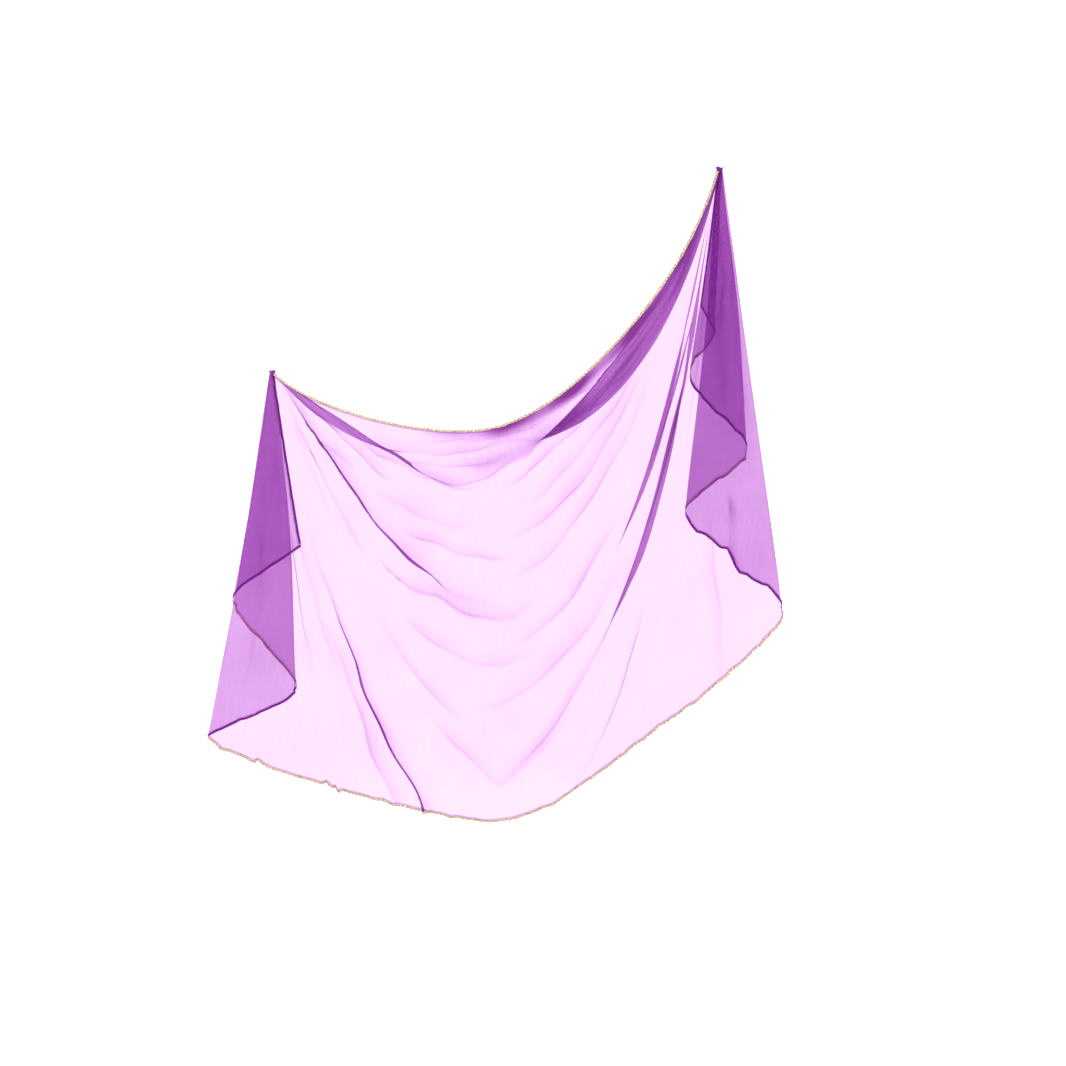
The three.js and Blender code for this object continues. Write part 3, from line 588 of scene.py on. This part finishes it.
def chiffon(name, cover, tint, crease_shaded):
    """Sheer cloth: threads that cover part of it, and between them a tint of what lies behind."""
    n = Nodes(name)
    uv = n.add("ShaderNodeUVMap", uv_map="cut").outputs["UV"]
    # the warp's long faint streaks, and the threads themselves
    stretch = n.add("ShaderNodeMapping", {"Vector": uv, "Scale": (260.0, 5.0, 1.0)}).outputs["Vector"]
    streak = n.add("ShaderNodeTexNoise", {"Vector": stretch, "Scale": 1.0, "Detail": 3.0}).outputs["Fac"]
    warp = n.add("ShaderNodeTexWave", {"Vector": uv, "Scale": 420.0, "Distortion": 1.5, "Detail": 1.0},
                 bands_direction="X").outputs["Fac"]
    weft = n.add("ShaderNodeTexWave", {"Vector": uv, "Scale": 380.0, "Distortion": 1.5, "Detail": 1.0},
                 bands_direction="Y").outputs["Fac"]
    weave = n.add("ShaderNodeMath", {0: warp, 1: weft}, operation="ADD").outputs[0]
    cloud = n.add("ShaderNodeTexNoise", {"Vector": uv, "Scale": 9.0, "Detail": 2.0}).outputs["Fac"]
    mixed = n.add("ShaderNodeMath", {0: streak, 1: cloud}, operation="ADD").outputs[0]
    cover_now = n.add("ShaderNodeMapRange", {
        "Value": mixed, "From Min": 0.6, "From Max": 1.4,
        "To Min": cover * 0.82, "To Max": cover * 1.18}).outputs["Result"]
    clear_tint = tint
    if crease_shaded:
        # painted shade: crease_shade darkens the clear tint and raises the cover along the creases
        crease_shade = n.add("ShaderNodeAttribute", attribute_name="crease_shade").outputs["Fac"]
        clear_tint = n.add("ShaderNodeGamma", {"Color": tint, "Gamma": crease_shade}).outputs["Color"]
        cover_now = n.add("ShaderNodeMath", {0: cover_now, 1: crease_shade}, operation="MULTIPLY",
                          use_clamp=True).outputs[0]
    bump = n.add("ShaderNodeBump", {"Height": weave, "Strength": 0.25, "Distance": 0.0004}).outputs["Normal"]
    crepe = n.add("ShaderNodeBump", {"Height": streak, "Strength": 0.35, "Distance": 0.0012,
                                     "Normal": bump}).outputs["Normal"]
    tone = n.add("ShaderNodeMix", {"Factor": streak}, data_type="RGBA")
    for key, value in CLOTH_COLOURS.items():
        tone.inputs[[i.identifier for i in tone.inputs].index(key)].default_value = value
    colour = tone.outputs[[o.identifier for o in tone.outputs].index("Result_Color")]
    cloth = n.add("ShaderNodeBsdfPrincipled", {"Base Color": colour, "Roughness": 0.52, "Normal": crepe,
                                               "Sheen Weight": 0.15, "Sheen Roughness": 0.4,
                                               "Sheen Tint": (0.85, 0.6, 1.0, 1.0),
                                               "Specular IOR Level": 0.35}).outputs["BSDF"]
    through = n.add("ShaderNodeBsdfTranslucent", {"Color": colour, "Normal": crepe}).outputs["BSDF"]
    thread = n.add("ShaderNodeMixShader", {0: 0.45, 1: cloth, 2: through}).outputs["Shader"]
    clear = n.add("ShaderNodeBsdfTransparent", {"Color": clear_tint}).outputs["BSDF"]
    surface = n.add("ShaderNodeMixShader", {0: cover_now, 1: clear, 2: thread}).outputs["Shader"]
    n.add("ShaderNodeOutputMaterial", {"Surface": surface})
    return n.material


def gold(name, base, rough, threads):
    """Twisted metal thread, tarnished in flecks."""
    n = Nodes(name)
    uv = n.add("ShaderNodeUVMap", uv_map="cut").outputs["UV"]
    twist = n.add("ShaderNodeTexWave", {"Vector": uv, "Scale": threads, "Distortion": 4.0, "Detail": 2.0},
                  bands_direction="DIAGONAL").outputs["Fac"]
    fleck = n.add("ShaderNodeTexNoise", {"Vector": uv, "Scale": 260.0, "Detail": 3.0}).outputs["Fac"]
    ramp = n.add("ShaderNodeValToRGB", {"Fac": fleck})
    ramp.color_ramp.elements[0].color = tuple(c * 0.55 for c in base) + (1,)
    ramp.color_ramp.elements[0].position = 0.35
    ramp.color_ramp.elements[1].color = base + (1,)
    ramp.color_ramp.elements[1].position = 0.6
    worn = n.add("ShaderNodeMapRange", {"Value": fleck, "To Min": rough + 0.12,
                                        "To Max": rough - 0.08}).outputs["Result"]
    bump = n.add("ShaderNodeBump", {"Height": twist, "Strength": 0.7, "Distance": 0.0006}).outputs["Normal"]
    metal = n.add("ShaderNodeBsdfPrincipled", {"Base Color": ramp.outputs["Color"], "Metallic": 0.65,
                                               "Roughness": worn, "Normal": bump}).outputs["BSDF"]
    n.add("ShaderNodeOutputMaterial", {"Surface": metal})
    return n.material


sheer = chiffon("chiffon", 0.26, (0.877, 0.662, 0.922, 1.0), True)
turned = chiffon("chiffon_hem", 0.24, (0.90, 0.72, 0.94, 1.0), False)
braid_gold = gold("gold_trim", (0.44, 0.34, 0.22), 0.45, 160.0)
sequin_gold = gold("gold_sequin", (0.80, 0.64, 0.42), 0.22, 20.0)


def tape_purple():
    """The ribbed tape on the trim's reverse."""
    n = Nodes("trim_tape")
    uv = n.add("ShaderNodeUVMap", uv_map="cut").outputs["UV"]
    rib = n.add("ShaderNodeTexWave", {"Vector": uv, "Scale": 220.0, "Distortion": 2.0}).outputs["Fac"]
    bump = n.add("ShaderNodeBump", {"Height": rib, "Strength": 0.5, "Distance": 0.0004}).outputs["Normal"]
    worn = n.add("ShaderNodeMapRange", {"Value": rib, "To Min": 0.5, "To Max": 0.7}).outputs["Result"]
    tape = n.add("ShaderNodeBsdfPrincipled", {"Base Color": (0.45, 0.13, 0.52, 1), "Roughness": worn,
                                              "Normal": bump}).outputs["BSDF"]
    n.add("ShaderNodeOutputMaterial", {"Surface": tape})
    return n.material


tape = tape_purple()

veil = mesh("veil", verts, faces.tolist(), sheer, flats)
# the crease_shade point attribute carries the painted shade of the creases, the roll and the right end
veil.data.attributes.new("crease_shade", "FLOAT", "POINT").data.foreach_set("value", shade_tones.astype(np.float32))

# ------------------------------------------------------------------ the trim and the turned hem
SIDES = {"left": (L, idsL, Lc), "right": (R, idsR, Rc)}


def rim(side, where):
    """A rim of the sheet as points, the way into the sheet and the outer face's direction at each."""
    grid, _, corner = SIDES[side]
    normal = facing(grid, side)
    if where == "hem":
        k = slice(0, corner + 1)
        return grid[-1, k], unit(grid[-2, k] - grid[-1, k]), normal[-1, k]
    k = slice(3, None)                # the trim begins just under the grip
    edge, inner = (0, 2) if where == "free" else (-1, -3)
    return grid[k, edge], unit(grid[k, inner] - grid[k, edge]), normal[k, edge]


def joined(a, b):
    """Two rims as one, the second turned round to run on from the first."""
    return [np.concatenate((x, y[::-1][1:])) for x, y in zip(a, b)]


def resample(points, inward, normal, pitch):
    """Even stations along a rim: points, the ways inward, outward and along, and the length so far."""
    s = length_along(points)
    fresh = np.arange(0.0, s[-1], pitch)
    p, into, out = (np.stack([np.interp(fresh, s, v[:, i]) for i in range(3)], axis=1)
                    for v in (points, inward, normal))
    tangent = unit(np.gradient(p, axis=0))
    n = unit(out - tangent * np.sum(out * tangent, axis=1, keepdims=True))
    b = np.cross(n, tangent)
    b = b * np.sign(np.sum(b * into, axis=1, keepdims=True))
    return p, unit(b), n, tangent, fresh


TRIM_LOW, TRIM_HIGH = 0.45, 1.75      # the braid's two faces, above the sheet
TRIM_SET_IN = 0.4                     # how far it lies in from the rim
RING = 8                              # points round it
FLAT_ACROSS, FLAT_UP = 0.35, 0.7      # below 1 makes the ring squarer
UNDERSIDE = (4, 5, 6)                 # the ring's stretches that face the sheet, and show the tape


def strip(run, width, wavy):
    """A flat braid along a rim: a closed ring of points at each station."""
    p, b, n, _, s = run
    shift = wavy * ripple(s * 2.2, 2.0)[:, None]
    lean = wavy * 0.5 * ripple(s * 1.7, 7.0)[:, None]
    mid, half = (TRIM_LOW + TRIM_HIGH) / 2, (TRIM_HIGH - TRIM_LOW) / 2
    ring = []
    for k in range(RING):
        a = 2 * math.pi * (k + 0.5) / RING
        x, y = math.cos(a), math.sin(a)
        x = math.copysign(abs(x) ** FLAT_ACROSS, x)
        y = math.copysign(abs(y) ** FLAT_UP, y)
        over = width / 2 + TRIM_SET_IN + x * width / 2 + shift
        ring.append(p + b * over + n * (mid + y * half + lean * x))
    points = np.stack(ring, axis=1)
    count = len(p)
    ids = np.arange(count * RING).reshape(count, RING)
    rings = []
    for k in range(RING):
        q = (k + 1) % RING
        rings.append(np.stack((ids[:-1, k], ids[:-1, q], ids[1:, q], ids[1:, k]), axis=1))
    caps = [ids[0][::-1].tolist(), ids[-1].tolist()]
    uv = np.stack((np.repeat(s, RING), np.tile(np.arange(float(RING)) * 2, count)), axis=1)
    below = [k in UNDERSIDE for k in range(RING) for _ in range(count - 1)] + [False, False]
    return points.reshape(-1, 3), np.concatenate(rings).tolist() + caps, uv, below


def flat_strip(run, width, off):
    """A flat band of cloth along a rim, off the sheet by off."""
    p, b, n, _, s = run
    points = np.stack((p + n * off, p + b * width * 0.5 + n * off, p + b * width + n * off), axis=1)
    ids = np.arange(len(p) * 3).reshape(len(p), 3)
    rings = [np.stack((ids[:-1, k], ids[1:, k], ids[1:, k + 1], ids[:-1, k + 1]), axis=1)
             for k in range(2)]
    uv = np.stack((np.repeat(s, 3), np.tile(np.arange(3.0) * width / 2, len(p))), axis=1)
    return points.reshape(-1, 3), np.concatenate(rings).tolist(), uv


def sewn(name, lengths, material, reverse=None):
    """Several lengths of one trim as one object. reverse is the material of the faces next to the sheet."""
    points, rings, uvs, below, base = [], [], [], [], 0
    for p, r, uv, *rest in lengths:
        below += rest[0] if rest else [False] * len(r)
        points.append(p)
        uvs.append(uv)
        rings += [[i + base for i in ring] for ring in r]
        base += len(p)
    o = mesh(name, np.concatenate(points), rings, material, np.concatenate(uvs))
    if reverse:
        o.data.materials.append(reverse)
        o.data.polygons.foreach_set("material_index", [int(v) for v in below])
    return o


SEQUIN_PITCH, SEQUIN_OFF = 10.0, 2.0
SEQUIN_RADIUS, SEQUIN_CUP = 1.6, 0.45
SEQUIN_SIDES = 8
SEQUIN_SET_IN, SEQUIN_STRAY = 3.0, 1.0


def sequins(run):
    """Small cupped discs sewn in a row, each tipped a little its own way."""
    p, b, n, t, s = run
    out_p, out_r, out_uv, base = [], [], [], 0
    for j in range(2, len(p) - 2, max(1, int(round(SEQUIN_PITCH / (s[1] - s[0]))))):
        tip = 0.35 * math.sin(j * 2.399)
        roll = 0.30 * math.sin(j * 1.117 + 1.0)
        up = unit(n[j] + b[j] * tip + t[j] * roll)
        x = unit(t[j] - up * float(t[j] @ up))
        y = np.cross(up, x)
        centre = p[j] + b[j] * (SEQUIN_SET_IN + SEQUIN_STRAY * math.sin(j * 0.77)) + n[j] * SEQUIN_OFF
        angles = np.arange(SEQUIN_SIDES) * (2 * math.pi / SEQUIN_SIDES)
        ring = [centre + (x * math.cos(a) + y * math.sin(a)) * SEQUIN_RADIUS for a in angles]
        out_p += ring + [centre + up * SEQUIN_CUP]
        out_r += [[base + k, base + (k + 1) % SEQUIN_SIDES, base + SEQUIN_SIDES] for k in range(SEQUIN_SIDES)]
        out_uv += [[j * 3.0 + q[0] % 3, q[2] % 3] for q in ring + [centre]]
        base += SEQUIN_SIDES + 1
    return np.array(out_p), out_r, np.array(out_uv)


PITCH = 2.5
hem_run = resample(*joined(rim("left", "hem"), rim("right", "hem")), PITCH)
held_run = resample(*joined(rim("left", "held"), rim("right", "held")), PITCH)
free_runs = [resample(*[x[:-1] for x in rim(side, "free")], PITCH) for side in ("left", "right")]

edge_runs = [held_run] + free_runs
all_runs = [hem_run] + edge_runs

TURNING, TURNING_OFF = 9.0, -0.5      # the cloth's own turned hem, on the far side from the braid
hem_trim = sewn("hem_trim", [strip(hem_run, width=5.9, wavy=1.6)], braid_gold, tape)
edge_trim = sewn("edge_trim", [strip(r, width=5.7, wavy=1.3) for r in edge_runs], braid_gold, tape)
shine = sewn("sequins", [sequins(r) for r in all_runs], sequin_gold)
hem_fold = sewn("turned_hem", [flat_strip(r, TURNING, TURNING_OFF) for r in all_runs], turned)

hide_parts("veil_centre", "veil_left_tail", "veil_right_tail")
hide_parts("hem_trim_centre", "hem_trim_left_tail", "hem_trim_right_tail")
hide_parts("edge_trim_centre", "edge_trim_left_end", "edge_trim_right_end")
for piece, slot in ((veil, "chiffon"), (hem_fold, "chiffon"), (hem_trim, "gold_trim"),
                    (edge_trim, "gold_trim"), (shine, "gold_trim")):
    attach(piece, "root")

# ------------------------------------------------------------------ stage, light and camera
STUDIO_WHITE, STUDIO_LIGHT = (1.0, 0.995, 1.0, 1.0), 1.6
FLOOR_Z = -1876


def floor_pale():
    """A matt floor that goes over into the studio's own light away from the veil."""
    n = Nodes("floor")
    speck = n.add("ShaderNodeTexNoise", {"Scale": 3.0, "Detail": 2.0}).outputs["Fac"]
    rough = n.add("ShaderNodeMapRange", {"Value": speck, "To Min": 0.75, "To Max": 0.9}).outputs["Result"]
    pale = n.add("ShaderNodeBsdfPrincipled", {"Base Color": (0.9, 0.9, 0.905, 1),
                                              "Roughness": rough}).outputs["BSDF"]
    spot = n.add("ShaderNodeTexCoord").outputs["Object"]
    away = n.add("ShaderNodeVectorMath", {0: spot, 1: (-0.55, 0.0, FLOOR_Z / MM_PER_M)},
                 operation="DISTANCE").outputs["Value"]
    far = n.add("ShaderNodeMapRange", {"Value": away, "From Min": 1.2, "From Max": 4.2},
                interpolation_type="SMOOTHSTEP").outputs["Result"]
    haze = n.add("ShaderNodeEmission", {"Color": STUDIO_WHITE, "Strength": STUDIO_LIGHT}).outputs["Emission"]
    surface = n.add("ShaderNodeMixShader", {0: far, 1: pale, 2: haze}).outputs["Shader"]
    n.add("ShaderNodeOutputMaterial", {"Surface": surface})
    return n.material


floor = mesh("floor", [(-9000, -7000, FLOOR_Z), (9000, -7000, FLOOR_Z), (9000, 9000, FLOOR_Z),
                       (-9000, 9000, FLOOR_Z)], [(0, 1, 2, 3)], floor_pale())

scene = bpy.context.scene
world = bpy.data.worlds.new("studio")
scene.world = world
world.use_nodes = True
background = world.node_tree.nodes["Background"].inputs
background["Color"].default_value = STUDIO_WHITE
background["Strength"].default_value = STUDIO_LIGHT


def lamp(name, place, target, size, power):
    data = bpy.data.lights.new(name, "AREA")
    data.size, data.energy = size, power
    o = bpy.data.objects.new(name, data)
    scene.collection.objects.link(o)
    o.location = place
    o.rotation_euler = (Vector(target) - Vector(place)).to_track_quat("-Z", "Y").to_euler()


CENTRE = (-0.55, -0.1, -0.8)
lamp("key", (-2.6, -3.4, 1.6), CENTRE, 1.6, 70)
lamp("fill", (2.6, -2.6, 0.2), CENTRE, 2.0, 45)
lamp("rim", (0.6, 3.0, 1.2), CENTRE, 1.6, 40)

VIEW_ANGLE = 27.97                    # degrees across the picture, from 5.5 m in front of the grips
cam = bpy.data.objects.new("camera", bpy.data.cameras.new("camera"))
scene.collection.objects.link(cam)
cam.location = (-0.4806, -5.5, -0.9329)
cam.rotation_euler = (math.radians(90), 0, 0)
cam.data.sensor_fit = "HORIZONTAL"
cam.data.sensor_width = 36.0
cam.data.lens = 18.0 / math.tan(math.radians(VIEW_ANGLE / 2))
scene.camera = cam
scene.view_settings.view_transform = "Standard"
scene.cycles.transparent_max_bounces = 48
